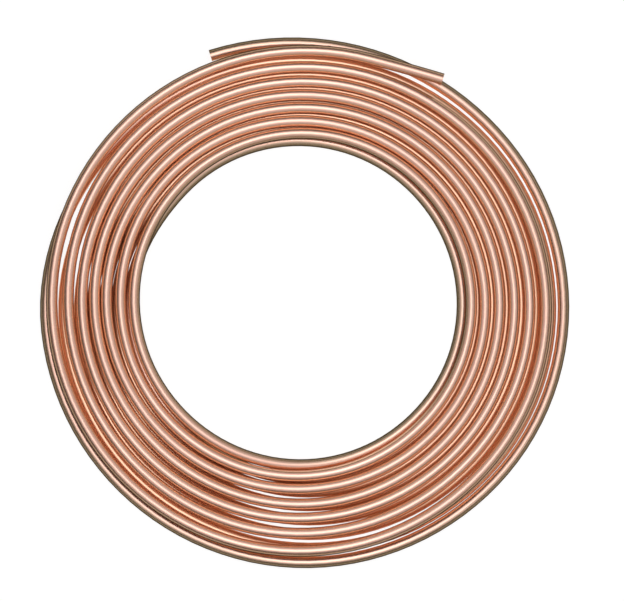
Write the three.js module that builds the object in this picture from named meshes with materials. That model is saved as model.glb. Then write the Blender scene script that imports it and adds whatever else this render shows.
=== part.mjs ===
// A coil of soft copper tube: one drawn tube, 3/8 in outside and 50 ft long, wound flat in two layers.
//
// The tube starts at a loose end on the outside of the lower layer, winds inwards to the eye, climbs
// on top of its own turns there, and winds outwards again to a second loose end above the first.
// Millimetres, +Z up. The coil lies flat on its lower turns, its box centred on the Z axis.

import * as THREE from "three";

// The tube.
const TUBE_OD = 9.525;
const TUBE_WALL = 0.813;
const LAYER_GAP = 0.3; // clear height between the two layers

// How it is wound. Seen from above the tube runs clockwise, and its turns are counted from a seam
// line across the coil, where one turn ends and the next begins.
const SEAM_ANGLE = 150; // degrees from +X
const LAYER_TURNS = 7; // whole turns in each layer, apart from the innermost turn between them
const FIRST_END = 0.109; // turns past the seam at which the lower end lies
const LAST_END = 0.2545; // turns past the seam at which the upper end lies

// Each layer is a spiral, counted in turns out from the middle of the innermost turn: its radius there;
// the clear gap to the next turn, its growth a turn and the bend of that growth; how far the turns lie
// off the centre, with its growth and bend; and how oval they are, with its growth. Each of the last
// five is a wave round the coil, by its heights along +X and a quarter wave further round.
const LOWER = {
  radius: 132.3,
  gap: 1.42,
  gapGrowth: 0.14,
  gapBend: 0.01,
  shift: [-4, -1.23],
  shiftGrowth: [1.39, -0.515],
  shiftBend: [-0.325, 0.045],
  oval: [0.83, -0.18],
  ovalGrowth: [0.106, -0.01],
};
const UPPER = {
  radius: 129.7,
  gap: 2.62,
  gapGrowth: -1.05,
  gapBend: 0.443,
  shift: [-4.56, 2.4],
  shiftGrowth: [0.37, -0.17],
  shiftBend: [0.07, -0.105],
  oval: [0.36, 0.06],
  ovalGrowth: [0.05, -0.105],
};

// The climb from the lower layer to the upper one, in turns past the seam of the innermost turn, and
// how far the tube swings out half-way up.
const CLIMB_START = 0.52;
const CLIMB_END = 0.84;
const CLIMB_SWING = 2.3;

// The loose ends spring out of the winding: how far, and over how many turns.
const FIRST_SPRING = { distance: 4.8, turns: 0.195 };
const LAST_SPRING = { distance: 7.7, turns: 0.046 };

// Facets.
const SIDES = 8; // of the tube's section, with one flat below to lie on
const STEPS_PER_TURN = 28;

const COPPER = new THREE.MeshStandardMaterial({ color: 0xc8764c, roughness: 0.32, metalness: 1 });

const FIRST_TURN = FIRST_END;
const LAST_TURN = 2 * LAYER_TURNS + LAST_END;
const INNERMOST = LAYER_TURNS; // the turn count at which the innermost turn begins

// The angle in degrees from +X at a turn count.
function windingAngle(turn) {
  return SEAM_ANGLE - 360 * turn;
}

// A wave by its heights at no angle and at a right angle.
function wave([start, quarter], angle) {
  return start * Math.cos(angle) + quarter * Math.sin(angle);
}

// The radius in one layer, a number of turns out from the middle of the innermost turn.
function layerRadius(layer, turnsOut, degrees) {
  const angle = THREE.MathUtils.degToRad(degrees);
  const squared = turnsOut ** 2 / 2;
  const cubed = turnsOut ** 3 / 6;
  const wound = (TUBE_OD + layer.gap) * turnsOut + layer.gapGrowth * squared + layer.gapBend * cubed;
  const shift = wave(layer.shift, angle) + wave(layer.shiftGrowth, angle) * turnsOut;
  const bend = wave(layer.shiftBend, angle) * squared;
  const oval = wave(layer.oval, 2 * angle) + wave(layer.ovalGrowth, 2 * angle) * turnsOut;
  return layer.radius + wound + shift + bend + oval;
}

// How far a loose end stands out, at a number of turns from its cut face.
function springOut(spring, turnsFromEnd) {
  const share = Math.max(0, 1 - turnsFromEnd / spring.turns);
  return spring.distance * share ** 2;
}

// How far the tube has passed from the lower layer to the upper one, from 0 to 1.
function climbed(turn) {
  return THREE.MathUtils.smoothstep(turn, INNERMOST + CLIMB_START, INNERMOST + CLIMB_END);
}

function coilRadius(turn) {
  const degrees = windingAngle(turn);
  const middle = INNERMOST + 0.5;
  const lower = layerRadius(LOWER, middle - turn, degrees);
  const upper = layerRadius(UPPER, turn - middle, degrees);
  const share = climbed(turn);
  const swing = CLIMB_SWING * 4 * share * (1 - share);
  const sprung = springOut(FIRST_SPRING, turn - FIRST_TURN) + springOut(LAST_SPRING, LAST_TURN - turn);
  return THREE.MathUtils.lerp(lower, upper, share) + swing + sprung;
}

function coilHeight(turn) {
  return TUBE_OD / 2 + climbed(turn) * (TUBE_OD + LAYER_GAP);
}

// The centre line of the tube, from the lower end to the upper one.
class CoilPath extends THREE.Curve {
  getPoint(share, target = new THREE.Vector3()) {
    const turn = THREE.MathUtils.lerp(FIRST_TURN, LAST_TURN, share);
    const angle = THREE.MathUtils.degToRad(windingAngle(turn));
    const radius = coilRadius(turn);
    return target.set(radius * Math.cos(angle), radius * Math.sin(angle), coilHeight(turn));
  }

  // Sections stand at equal angles, so that the facets of neighbouring turns run side by side.
  getSpacedPoints(steps) {
    return this.getPoints(steps);
  }

  // Sections don't twist: one side stays level, so that the lower turns lie on their flats.
  computeFrenetFrames(steps) {
    const up = new THREE.Vector3(0, 0, 1);
    const tangents = [];
    const normals = [];
    const binormals = [];
    for (let step = 0; step <= steps; step++) {
      const tangent = this.getTangent(step / steps);
      const normal = new THREE.Vector3().crossVectors(up, tangent).normalize();
      tangents.push(tangent);
      normals.push(normal);
      binormals.push(new THREE.Vector3().crossVectors(tangent, normal));
    }
    return { tangents, normals, binormals };
  }
}

// A regular polygon round a circle of this diameter, with flats above, below and at both sides.
function polygonAround(diameter) {
  const corner = diameter / 2 / Math.cos(Math.PI / SIDES);
  const points = [];
  for (let side = 0; side < SIDES; side++) {
    const angle = (2 * Math.PI * (side + 0.5)) / SIDES;
    points.push(new THREE.Vector2(corner * Math.cos(angle), corner * Math.sin(angle)));
  }
  return points;
}

function tubeSection() {
  const section = new THREE.Shape(polygonAround(TUBE_OD));
  section.holes.push(new THREE.Path(polygonAround(TUBE_OD - 2 * TUBE_WALL)));
  return section;
}

function copperTube() {
  const steps = Math.round((LAST_TURN - FIRST_TURN) * STEPS_PER_TURN);
  const geometry = new THREE.ExtrudeGeometry(tubeSection(), { steps, extrudePath: new CoilPath() });
  geometry.computeBoundingBox();
  const centre = geometry.boundingBox.getCenter(new THREE.Vector3());
  geometry.translate(-centre.x, -centre.y, 0);
  const tube = new THREE.Mesh(geometry, COPPER);
  tube.name = "copper_tube";
  return tube;
}

const coil = new THREE.Group();
coil.name = "copper_tube_coil";
coil.add(copperTube());

export default coil;
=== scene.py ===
"""The looks of the copper tube coil: its round tube, its copper and a plain studio around it.

The tube follows the part's two-layer winding, with the finer strays of a coil wound by hand: the lower
turns step inwards over a short stretch, and the upper turns sink a little between them.
"""

import math

import bmesh
import bpy
import numpy as np
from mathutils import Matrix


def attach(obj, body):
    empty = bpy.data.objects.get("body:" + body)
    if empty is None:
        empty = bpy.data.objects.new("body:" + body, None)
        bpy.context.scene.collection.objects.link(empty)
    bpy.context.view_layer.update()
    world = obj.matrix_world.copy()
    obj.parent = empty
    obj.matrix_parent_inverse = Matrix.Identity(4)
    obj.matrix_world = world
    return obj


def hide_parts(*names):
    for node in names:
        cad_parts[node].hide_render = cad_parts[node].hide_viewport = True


MM = 0.001

# The picture's frame, in pixels, and where the middle of the winding lies in it.
PICTURE_SIZE = (624, 601)
WINDING_CENTRE_PX = (304.5, 304.0)

# The tube, in millimetres, and how it is wound. Turns are counted from the seam, inwards through the
# lower layer and outwards again through the upper one.
TUBE_OD = 9.525
TUBE_WALL = 0.813
LAYER_GAP = 0.3
SEAM_ANGLE = 150.0
LAYER_TURNS = 7
FIRST_TURN = 0.109
LAST_TURN = 14.2545
MIDDLE_TURN = LAYER_TURNS + 0.5
# Each layer's radius: a spiral, on a centre that drifts from turn to turn, and slightly oval. A gap is the
# air from turn to turn. A growth is a change for each turn outwards, and a bend is the growth's own.
LOWER = {
    "radius": 135.14,
    "gap": 1.39,
    "gap_growth": 0.19,
    "gap_bend": -0.004,
    "shift": (-2.85, 1.27),
    "shift_growth": (1.375, -0.525),
    "shift_bend": (-0.32, 0.046),
    "oval": (0.02, -1.03),
    "oval_growth": (0.12, 0.0),
}
UPPER = {
    "radius": 129.7,
    "gap": 2.62,
    "gap_growth": -1.05,
    "gap_bend": 0.443,
    "shift": (-4.56, 2.4),
    "shift_growth": (0.37, -0.17),
    "shift_bend": (0.07, -0.105),
    "oval": (0.36, 0.06),
    "oval_growth": (0.05, -0.105),
}
CLIMB_START = 0.52  # turns past the lower layer's last seam
CLIMB_END = 0.84
CLIMB_SWING = 2.3  # outwards, at the middle of the climb
# The two loose ends spring out, over these turns.
FIRST_SPRING = {"distance": 4.8, "turns": 0.195}
LAST_SPRING = {"distance": 7.7, "turns": 0.046}

# The lower turns take most of their step inwards over a short stretch of each turn.
STEP_SHARE = 0.7  # of the step from turn to turn
STEP_START = 0.9  # turns past the seam
STEP_TURNS = 0.136  # its length
# Where a turn strays from that: the turn count, the turns it takes, and the distance outwards.
LOWER_STRAYS = (
    (0.58, 0.08, -0.8),
    (1.01, 0.06, 1.1),
    (1.52, 0.15, 1.2),
    (1.735, 0.045, -0.75),
    (1.9, 0.12, -2.2),
    (2.63, 0.1, 1.0),
    (2.735, 0.045, -0.75),
    (2.92, 0.105, -2.9),
    (3.65, 0.08, 0.8),
    (3.735, 0.045, -0.75),
    (3.93, 0.09, -1.9),
    (4.65, 0.12, 0.9),
    (4.735, 0.045, -0.75),
    (4.95, 0.08, -0.75),
    (5.65, 0.1, 1.2),
    (5.735, 0.045, -0.4),
    (5.85, 0.08, 0.8),
    (5.97, 0.06, -0.15),
    (6.685, 0.08, 1.85),
)
UPPER_STRAYS = (
    (8.19, 0.1, 0.5),
    (9.02, 0.08, 0.75),
    (9.28, 0.12, -1.05),
    (9.67, 0.08, -0.6),
    (9.93, 0.08, 1.15),
    (10.24, 0.07, 0.35),
    (10.63, 0.08, 0.6),
    (10.98, 0.085, 0.85),
    (11.39, 0.08, 0.4),
    (11.71, 0.07, 0.4),
    (12.39, 0.07, 0.4),
    (12.56, 0.06, -0.6),
    (12.88, 0.07, -0.6),
    (13.04, 0.06, 0.5),
    (13.54, 0.08, -0.8),
    (13.74, 0.08, 0.85),
)
# The upper turns sink between the lower ones, but for the first of them and the free end.
SETTLED_FROM = (8.0, 8.6)
SETTLED_TO = (13.8, 14.15)
LEAST_RISE = 7.6  # from a lower centre line to an upper one, midway between two lower turns
ROUNDNESS = 16  # how sharply an upper turn goes from one lower turn to the next
# The turns over which a side comes to be bare or covered. Outwards they are counted from a loose end.
COVERED_OUTWARD = (0.9, 1.1)
BARE_TO_EYE_FROM = (6.55, 6.8)
BARE_TO_EYE_TO = (8.45, 8.6)
# Where the winding's own centre lies in the part's frame.
CENTRE = np.array([-1.311, -0.659, 0.0])

# The smooth tube.
STEPS_PER_TURN = 110
OUTER_SIDES = 24
BORE_SIDES = 14
EDGE_BREAK = 0.15  # the cut ends' outer edge is broken by this much
SHARP_ANGLE = 35  # degrees between two faces, from where their edge is shaded sharp

# Copper: a paler tint painted on the crest as a highlight, and olive and then brown painted on a flank
# with no turn beside it as a dark reflection. A span is in radii from the tube's middle to that side.
CREST_HIGHLIGHT_TINT = (0.93, 0.57, 0.46)
FLANK_COPPER = (0.96, 0.575, 0.39)
OLIVE_PAINTED_REFLECTION = (0.50, 0.40, 0.26)
BROWN_PAINTED_REFLECTION = (0.085, 0.068, 0.038)
OLIVE_REFLECTION_SPAN = (-0.2, 0.7)
OLIVE_REFLECTION_SHARE = {"lower": 0.85, "upper": 0.35}
BROWN_REFLECTION_SPAN = {"lower": (0.55, 0.88), "upper": (0.62, 0.9)}
METALLIC = {"lower": 1.0, "upper": 0.9}
ROUGHNESS = {"least": 0.18, "most": 0.26, "more_on_lower": 0.03}
CREST_SPAN = (0.75, 0.95)  # in radii up from the tube's middle
# Two noises on the drawn tube, by how often they change for each metre along it and across it.
BLOTCHES = {"along": 9.0, "across": 120.0, "detail": 3.0, "seed": 0.0}
DRAWN_LINES = {"along": 4.0, "across": 1800.0, "detail": 4.0, "seed": 3.0}
BLOTCH_TONES = ((0.3, 0.95), (0.55, 1.0), (0.75, 1.05))  # the noise, and the colour's share there
LINE_SPAN = (0.3, 0.7)  # the noise from the smoothest line to the roughest
MOST_COLOUR = 0.96  # the most of a channel

# Studio, in metres, with the sensor in millimetres.
CAMERA_DISTANCE = 3.5
SENSOR_WIDTH = 36.0
SCALE = 0.822  # millimetres of the coil for each pixel
LIGHT_CENTRE = (-0.045, 0.135)  # of the light on the ceiling, as shares of its height over the coil
LIGHT_WIDTH = (0.15, 0.31)  # from its middle to where it has faded to about a third, in the same shares
LIGHT_LEVEL = 2.2
LEAST_HEIGHT = 0.01  # of a direction over the level, so that the ceiling's shares stay finite
# The room's colour by a direction's height, from the level, 0, to straight overhead, 1.
ROOM = (
    (0.0, (0.3, 0.26, 0.22)),
    (0.15, (0.3, 0.26, 0.22)),
    (0.3, (0.12, 0.09, 0.07)),
    (0.47, (0.06, 0.05, 0.04)),
    (0.77, (0.17, 0.15, 0.14)),
    (1.0, (0.33, 0.33, 0.33)),
)
ROOM_SIDES = (0.27, -0.09)  # how much brighter it is to the right, and to the top of the picture
SOFT_BOX = {"place": (0.05, 0.0, 0.25), "size": 0.8, "level": 0.42}
FLOOR_SIZE = 30.0  # from its middle to each side
FLOOR_COLOUR = 0.3
FLOOR_GLOW = 0.88


def smooth_step(value, start, end):
    """Zero up to the start, one from the end on, and smooth between them."""
    share = np.clip((value - start) / (end - start), 0.0, 1.0)
    return share * share * (3.0 - 2.0 * share)


def wave(heights, angle):
    """A wave by its heights at no angle and at a right angle."""
    return heights[0] * np.cos(angle) + heights[1] * np.sin(angle)


def layer_radius(layer, turns_out, wound_out, degrees):
    """A layer's radius: turns_out places its drift, and wound_out its spiral."""
    angle = np.radians(degrees)
    wound = (TUBE_OD + layer["gap"]) * wound_out
    wound = wound + layer["gap_growth"] * wound_out**2 / 2 + layer["gap_bend"] * wound_out**3 / 6
    shift = wave(layer["shift"], angle) + wave(layer["shift_growth"], angle) * turns_out
    bend = wave(layer["shift_bend"], angle) * turns_out**2 / 2
    oval = wave(layer["oval"], 2 * angle) + wave(layer["oval_growth"], 2 * angle) * turns_out
    return layer["radius"] + wound + shift + bend + oval


def spring_out(spring, turns_from_end):
    """How far a loose end springs outwards."""
    share = np.maximum(0.0, 1.0 - turns_from_end / spring["turns"])
    return spring["distance"] * share**2


def stepped(turns):
    """Turn counts with the step inwards gathered into one short stretch."""
    past = np.mod(turns - STEP_START, 1.0)
    return turns + STEP_SHARE * (smooth_step(past, 0.0, STEP_TURNS) - past)


def strayed(strays, turns):
    """How far outwards the tube strays from its spiral."""
    return sum(distance * np.exp(-(((turns - at) / over) ** 2)) for at, over, distance in strays)


def lower_radius(turns, degrees):
    radius = layer_radius(LOWER, MIDDLE_TURN - turns, MIDDLE_TURN - stepped(turns), degrees)
    return radius + strayed(LOWER_STRAYS, turns) + spring_out(FIRST_SPRING, turns - FIRST_TURN)


def upper_radius(turns, degrees):
    radius = layer_radius(UPPER, turns - MIDDLE_TURN, turns - MIDDLE_TURN, degrees)
    return radius + strayed(UPPER_STRAYS, turns) + spring_out(LAST_SPRING, LAST_TURN - turns)


def rise(turns, degrees, radius):
    """How far an upper centre line lies over the lower ones: it rests on the nearest of them."""
    full = TUBE_OD + LAYER_GAP
    heights = [np.full(turns.shape, LEAST_RISE)]
    for back in range(1, 2 * LAYER_TURNS + 1):
        below = turns - back
        apart = radius - lower_radius(below, degrees)
        under = (below >= FIRST_TURN) & (below <= LAYER_TURNS + CLIMB_START)
        heights.append(np.where(under, np.sqrt(np.maximum(full**2 - apart**2, 0.0)), 0.0))
    resting = sum(height**ROUNDNESS for height in heights) ** (1 / ROUNDNESS)
    settled = smooth_step(turns, *SETTLED_FROM) * (1.0 - smooth_step(turns, *SETTLED_TO))
    return full + (np.minimum(resting, full) - full) * settled


def climbed(turns):
    """How far the tube has climbed from the lower layer, 0, to the upper one, 1."""
    return smooth_step(turns, LAYER_TURNS + CLIMB_START, LAYER_TURNS + CLIMB_END)


def winding(turns):
    """The tube's centre line at these turn counts, in millimetres, about the winding's own centre."""
    degrees = SEAM_ANGLE - 360.0 * turns
    angle = np.radians(degrees)
    share = climbed(turns)
    lower = lower_radius(turns, degrees)
    radius = lower + (upper_radius(turns, degrees) - lower) * share + CLIMB_SWING * 4 * share * (1 - share)
    height = TUBE_OD / 2 + share * rise(turns, degrees, radius)
    return np.stack([radius * np.cos(angle), radius * np.sin(angle), height], axis=1)


def frames(turns):
    """Level section frames on the centre line: its tangent, its outward side and its upper side."""
    step = 1e-4
    tangent = winding(turns + step) - winding(turns - step)
    tangent /= np.linalg.norm(tangent, axis=1, keepdims=True)
    side = np.cross([0.0, 0.0, 1.0], tangent)
    side /= np.linalg.norm(side, axis=1, keepdims=True)
    return tangent, side, np.cross(tangent, side)


def bared(turns):
    """How bare the tube's outward side is, and its side to the eye, and how far it has climbed."""
    outmost_lower = 1.0 - smooth_step(turns - FIRST_TURN, *COVERED_OUTWARD)
    outmost_upper = 1.0 - smooth_step(LAST_TURN - turns, *COVERED_OUTWARD)
    inmost = smooth_step(turns, *BARE_TO_EYE_FROM) * (1.0 - smooth_step(turns, *BARE_TO_EYE_TO))
    return np.stack([outmost_lower + outmost_upper, inmost, climbed(turns)], axis=1)


def ring_faces(first, second, sides):
    """Quads between two rings of this many corners, by the index of each ring's first corner."""
    return [
        (first + i, first + (i + 1) % sides, second + (i + 1) % sides, second + i) for i in range(sides)
    ]


def tube_mesh():
    """The tube's outside and bore, and the first corners of the rings that each cut end joins."""
    last = round((LAST_TURN - FIRST_TURN) * STEPS_PER_TURN)
    turns = np.linspace(FIRST_TURN, LAST_TURN, last + 1)
    points = winding(turns) + CENTRE
    tangent, side, up = frames(turns)
    length = np.concatenate([[0.0], np.cumsum(np.linalg.norm(np.diff(points, axis=0), axis=1))])
    bare = bared(turns)
    vertices, drawn, bares, faces = [], [], [], []

    def add_ring(index, radius, sides, along=0.0):
        start = sum(len(block) for block in vertices)
        a = 2 * math.pi * (np.arange(sides) + 0.5) / sides
        across = side[index] * np.cos(a)[:, None] + up[index] * np.sin(a)[:, None]
        vertices.append(points[index] + tangent[index] * along + across * radius)
        place = np.full(sides, length[index] + along)
        drawn.append(np.stack([place, radius * np.cos(a), radius * np.sin(a)], axis=1))
        bares.append(np.tile(bare[index], (sides, 1)))
        return start

    outer = TUBE_OD / 2
    edge = outer - EDGE_BREAK
    outside = [add_ring(0, edge, OUTER_SIDES), add_ring(0, outer, OUTER_SIDES, EDGE_BREAK)]
    outside += [add_ring(i, outer, OUTER_SIDES) for i in range(1, last)]
    outside += [add_ring(last, outer, OUTER_SIDES, -EDGE_BREAK), add_ring(last, edge, OUTER_SIDES)]
    inside = [add_ring(i, outer - TUBE_WALL, BORE_SIDES) for i in range(last + 1)]
    for a, b in zip(outside, outside[1:]):
        faces += ring_faces(a, b, OUTER_SIDES)
    for a, b in zip(inside, inside[1:]):
        faces += [tuple(reversed(face)) for face in ring_faces(a, b, BORE_SIDES)]

    mesh = bpy.data.meshes.new("copper_tube_round")
    mesh.from_pydata((np.concatenate(vertices) * MM).tolist(), [], faces)
    mesh.update()
    for name, values in (("drawn", np.concatenate(drawn) * MM), ("bared", np.concatenate(bares))):
        attribute = mesh.attributes.new(name, "FLOAT_VECTOR", "POINT")
        attribute.data.foreach_set("vector", values.astype(np.float32).ravel())
    return mesh, (outside[0], inside[0]), (outside[-1], inside[-1])


def close_end(mesh, outer_ring, bore_ring, outward):
    """The flat annular face of a cut end, as triangles between the two rings."""
    bm = bmesh.new()
    bm.from_mesh(mesh)
    bm.verts.ensure_lookup_table()
    i = j = 0
    while i < OUTER_SIDES or j < BORE_SIDES:
        a = bm.verts[outer_ring + i % OUTER_SIDES]
        b = bm.verts[bore_ring + j % BORE_SIDES]
        outer_lags = (i + 0.5) * BORE_SIDES <= (j + 0.5) * OUTER_SIDES
        if j >= BORE_SIDES or (i < OUTER_SIDES and outer_lags):
            c = bm.verts[outer_ring + (i + 1) % OUTER_SIDES]
            i += 1
        else:
            c = bm.verts[bore_ring + (j + 1) % BORE_SIDES]
            j += 1
        bm.faces.new((a, c, b) if outward else (a, b, c))
    bm.to_mesh(mesh)
    bm.free()


class Nodes:
    """Short ways to make the nodes of one tree."""

    def __init__(self, tree):
        self.nodes = tree.nodes
        self.links = tree.links

    def put(self, socket, value):
        """Links a socket into this one, or sets a plain value."""
        if isinstance(value, bpy.types.NodeSocket):
            self.links.new(value, socket)
        else:
            socket.default_value = value

    def calc(self, operation, *inputs):
        node = self.nodes.new("ShaderNodeMath")
        node.operation = operation
        for socket, value in zip(node.inputs, inputs):
            self.put(socket, value)
        return node.outputs[0]

    def between(self, value, start, end, low=0.0, high=1.0):
        """Low where the value is at start, high where it is at end, and smooth between them."""
        node = self.nodes.new("ShaderNodeMapRange")
        node.interpolation_type = "SMOOTHSTEP"
        for name, number in (("From Min", start), ("From Max", end), ("To Min", low), ("To Max", high)):
            self.put(node.inputs[name], number)
        self.put(node.inputs["Value"], value)
        return node.outputs["Result"]

    def mix(self, share, first, second):
        """The first colour where the share is 0, the second where it is 1."""
        node = self.nodes.new("ShaderNodeMix")
        node.data_type = "RGBA"
        share_socket, first_socket, second_socket = node.inputs[0], node.inputs[6], node.inputs[7]
        self.put(share_socket, share)
        for socket, colour in ((first_socket, first), (second_socket, second)):
            self.put(socket, (*colour, 1.0) if isinstance(colour, tuple) else colour)
        return node.outputs[2]

    def split(self, vector):
        node = self.nodes.new("ShaderNodeSeparateXYZ")
        self.links.new(vector, node.inputs[0])
        return node.outputs

    def attribute(self, name):
        node = self.nodes.new("ShaderNodeAttribute")
        node.attribute_name = name
        return node.outputs["Vector"]

    def ramp(self, value, stops):
        node = self.nodes.new("ShaderNodeValToRGB")
        elements = node.color_ramp.elements
        while len(elements) < len(stops):
            elements.new(0.5)
        for element, (position, colour) in zip(elements, stops):
            element.position = position
            element.color = (*colour, 1.0)
        self.links.new(value, node.inputs["Fac"])
        return node.outputs["Color"]

    def streaks(self, place, along, across, detail, seed):
        """Noise that is drawn out along the tube."""
        mapping = self.nodes.new("ShaderNodeMapping")
        mapping.inputs["Scale"].default_value = (along, across, across)
        mapping.inputs["Location"].default_value = (seed, seed, seed)
        self.links.new(place, mapping.inputs["Vector"])
        noise = self.nodes.new("ShaderNodeTexNoise")
        noise.inputs["Scale"].default_value = 1.0
        noise.inputs["Detail"].default_value = detail
        self.links.new(mapping.outputs["Vector"], noise.inputs["Vector"])
        return noise.outputs["Fac"]


def toned(colour, share):
    return tuple(min(value * share, MOST_COLOUR) for value in colour)


def copper_material():
    """Drawn copper, with a painted highlight tint on its crest and a painted dark reflection where it lies
    bare.
    """
    material = bpy.data.materials.new("copper")
    material.use_nodes = True
    make = Nodes(material.node_tree)
    shader = make.nodes["Principled BSDF"]
    shader.inputs["Anisotropic"].default_value = 0.8
    shader.inputs["Anisotropic Rotation"].default_value = 0.25
    shader.inputs["Specular IOR Level"].default_value = 0.15
    shader.inputs["Specular Tint"].default_value = (0.3, 0.2, 0.12, 1.0)

    place = make.attribute("drawn")
    along, outward, upward = make.split(place)
    radius = TUBE_OD / 2 * MM
    outward = make.calc("DIVIDE", outward, radius)
    upward = make.calc("DIVIDE", upward, radius)
    bare_outward, bare_inward, layer = make.split(make.attribute("bared"))
    inward = make.calc("MULTIPLY", outward, -1.0)

    blotches = make.streaks(place, **BLOTCHES)
    crest_highlight_tint = make.ramp(blotches, [(at, toned(CREST_HIGHLIGHT_TINT, share)) for at, share in BLOTCH_TONES])
    flank_copper = make.ramp(blotches, [(at, toned(FLANK_COPPER, share)) for at, share in BLOTCH_TONES])
    # The crest's paler tint is a painted highlight, on the upper turns and on the bare lower ones.
    highlight_tinted_turns = make.calc("MAXIMUM", layer, make.calc("MAXIMUM", bare_outward, bare_inward))
    crest = make.calc("MULTIPLY", make.between(upward, *CREST_SPAN), highlight_tinted_turns)
    colour = make.mix(crest, flank_copper, crest_highlight_tint)

    def painted_reflection(span):
        """How far a flank with no turn beside it gets the painted dark reflection."""
        out = make.calc("MULTIPLY", bare_outward, make.between(outward, *span))
        eye = make.calc("MULTIPLY", bare_inward, make.between(inward, *span))
        return make.calc("ADD", out, eye)

    # Olive, and brown further out, on a flank with no turn beside it: a painted dark reflection.
    lower = make.calc("SUBTRACT", 1.0, layer)
    share = make.between(layer, 0.0, 1.0, OLIVE_REFLECTION_SHARE["lower"], OLIVE_REFLECTION_SHARE["upper"])
    olive_reflection = make.calc("MULTIPLY", painted_reflection(OLIVE_REFLECTION_SPAN), share)
    colour = make.mix(olive_reflection, colour, OLIVE_PAINTED_REFLECTION)
    brown_reflection_lower = make.calc("MULTIPLY", painted_reflection(BROWN_REFLECTION_SPAN["lower"]), lower)
    brown_reflection_upper = make.calc("MULTIPLY", painted_reflection(BROWN_REFLECTION_SPAN["upper"]), layer)
    colour = make.mix(make.calc("ADD", brown_reflection_lower, brown_reflection_upper), colour, BROWN_PAINTED_REFLECTION)
    make.put(shader.inputs["Base Color"], colour)
    metallic = make.between(layer, 0.0, 1.0, METALLIC["lower"], METALLIC["upper"])
    make.put(shader.inputs["Metallic"], metallic)

    lines = make.streaks(place, **DRAWN_LINES)
    rough = make.between(lines, *LINE_SPAN, ROUGHNESS["least"], ROUGHNESS["most"])
    rough = make.calc("ADD", rough, make.calc("MULTIPLY", lower, ROUGHNESS["more_on_lower"]))
    make.put(shader.inputs["Roughness"], rough)

    bump = make.nodes.new("ShaderNodeBump")
    bump.inputs["Strength"].default_value = 0.15
    bump.inputs["Distance"].default_value = 0.00002
    make.put(bump.inputs["Height"], lines)
    make.put(shader.inputs["Normal"], bump.outputs["Normal"])
    return material


def copper_tube():
    mesh, first_end, last_end = tube_mesh()
    close_end(mesh, *first_end, outward=False)
    close_end(mesh, *last_end, outward=True)
    mesh.materials.append(copper_material())
    mesh.shade_smooth()
    mesh.set_sharp_from_angle(angle=math.radians(SHARP_ANGLE))
    tube = bpy.data.objects.new("copper_tube_round", mesh)
    bpy.context.scene.collection.objects.link(tube)
    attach(tube, "root")
    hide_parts("copper_tube")


def camera():
    right = (PICTURE_SIZE[0] / 2 - WINDING_CENTRE_PX[0]) * SCALE + CENTRE[0]
    up = (WINDING_CENTRE_PX[1] - PICTURE_SIZE[1] / 2) * SCALE + CENTRE[1]
    data = bpy.data.cameras.new("camera")
    data.sensor_width = SENSOR_WIDTH
    data.lens = SENSOR_WIDTH * (CAMERA_DISTANCE / MM) / (PICTURE_SIZE[0] * SCALE)
    data.clip_end = 10.0
    obj = bpy.data.objects.new("camera", data)
    obj.location = (right * MM, up * MM, CAMERA_DISTANCE)
    bpy.context.scene.collection.objects.link(obj)
    bpy.context.scene.camera = obj


def floor():
    """A white floor that keeps the coil's shadow; the copper sees it white as well."""
    mesh = bpy.data.meshes.new("floor")
    corners = [(x * FLOOR_SIZE, y * FLOOR_SIZE, 0.0) for x, y in ((-1, -1), (1, -1), (1, 1), (-1, 1))]
    mesh.from_pydata(corners, [], [(0, 1, 2, 3)])
    material = bpy.data.materials.new("white_floor")
    material.use_nodes = True
    make = Nodes(material.node_tree)
    make.nodes.remove(make.nodes["Principled BSDF"])
    diffuse = make.nodes.new("ShaderNodeBsdfDiffuse")
    diffuse.inputs["Color"].default_value = (FLOOR_COLOUR, FLOOR_COLOUR, FLOOR_COLOUR, 1.0)
    path = make.nodes.new("ShaderNodeLightPath")
    seen = make.calc("MAXIMUM", path.outputs["Is Camera Ray"], path.outputs["Is Glossy Ray"])
    seen = make.calc("MAXIMUM", seen, path.outputs["Is Transmission Ray"])
    glow = make.nodes.new("ShaderNodeEmission")
    make.put(glow.inputs["Strength"], make.calc("MULTIPLY", seen, FLOOR_GLOW))
    both = make.nodes.new("ShaderNodeAddShader")
    make.put(both.inputs[0], diffuse.outputs[0])
    make.put(both.inputs[1], glow.outputs[0])
    make.put(make.nodes["Material Output"].inputs["Surface"], both.outputs[0])
    mesh.materials.append(material)
    obj = bpy.data.objects.new("floor", mesh)
    bpy.context.scene.collection.objects.link(obj)


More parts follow.
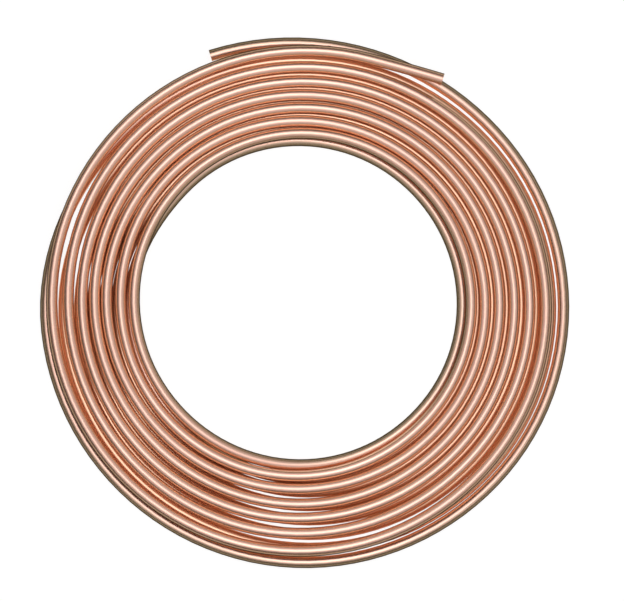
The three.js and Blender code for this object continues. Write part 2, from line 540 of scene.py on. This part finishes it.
def room():
    """A dim room, a little brighter to one side, with one soft light on its ceiling."""
    world = bpy.data.worlds.new("studio")
    world.use_nodes = True
    make = Nodes(world.node_tree)
    x, y, z = make.split(make.nodes.new("ShaderNodeTexCoord").outputs["Generated"])
    height = make.calc("MAXIMUM", z, LEAST_HEIGHT)
    shares = []
    for coordinate, centre, width in zip((x, y), LIGHT_CENTRE, LIGHT_WIDTH):
        offset = make.calc("SUBTRACT", make.calc("DIVIDE", coordinate, height), centre)
        shares.append(make.calc("POWER", make.calc("DIVIDE", offset, width), 2.0))
    fade = make.calc("EXPONENT", make.calc("MULTIPLY", make.calc("ADD", *shares), -1.0))
    walls = make.nodes["Background"]
    make.put(walls.inputs["Color"], make.ramp(z, ROOM))
    sides = [make.calc("MULTIPLY", coordinate, share) for coordinate, share in zip((x, y), ROOM_SIDES)]
    make.put(walls.inputs["Strength"], make.calc("ADD", make.calc("ADD", *sides), 1.0))
    light = make.nodes.new("ShaderNodeBackground")
    light.inputs["Color"].default_value = (1.0, 1.0, 1.0, 1.0)
    make.put(light.inputs["Strength"], make.calc("MULTIPLY", fade, LIGHT_LEVEL))
    both = make.nodes.new("ShaderNodeAddShader")
    make.put(both.inputs[0], walls.outputs[0])
    make.put(both.inputs[1], light.outputs[0])
    make.put(make.nodes["World Output"].inputs["Surface"], both.outputs[0])
    bpy.context.scene.world = world


def soft_box():
    """A wide square lamp low over the coil: flanks that face the eye see more of it."""
    lamp = bpy.data.lights.new("soft_box", "AREA")
    lamp.shape = "SQUARE"
    lamp.size = SOFT_BOX["size"]
    lamp.energy = SOFT_BOX["level"] * math.pi * SOFT_BOX["size"] ** 2
    obj = bpy.data.objects.new("soft_box", lamp)
    obj.location = SOFT_BOX["place"]
    obj.visible_camera = False
    bpy.context.scene.collection.objects.link(obj)


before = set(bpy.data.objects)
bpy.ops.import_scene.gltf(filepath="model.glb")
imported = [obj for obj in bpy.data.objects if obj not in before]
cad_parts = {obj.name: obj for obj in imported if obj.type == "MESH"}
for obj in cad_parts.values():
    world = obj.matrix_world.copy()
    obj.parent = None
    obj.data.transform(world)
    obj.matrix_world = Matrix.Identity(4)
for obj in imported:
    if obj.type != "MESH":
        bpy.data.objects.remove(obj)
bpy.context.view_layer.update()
bpy.context.scene.view_settings.view_transform = "Standard"
camera()
floor()
room()
soft_box()
copper_tube()
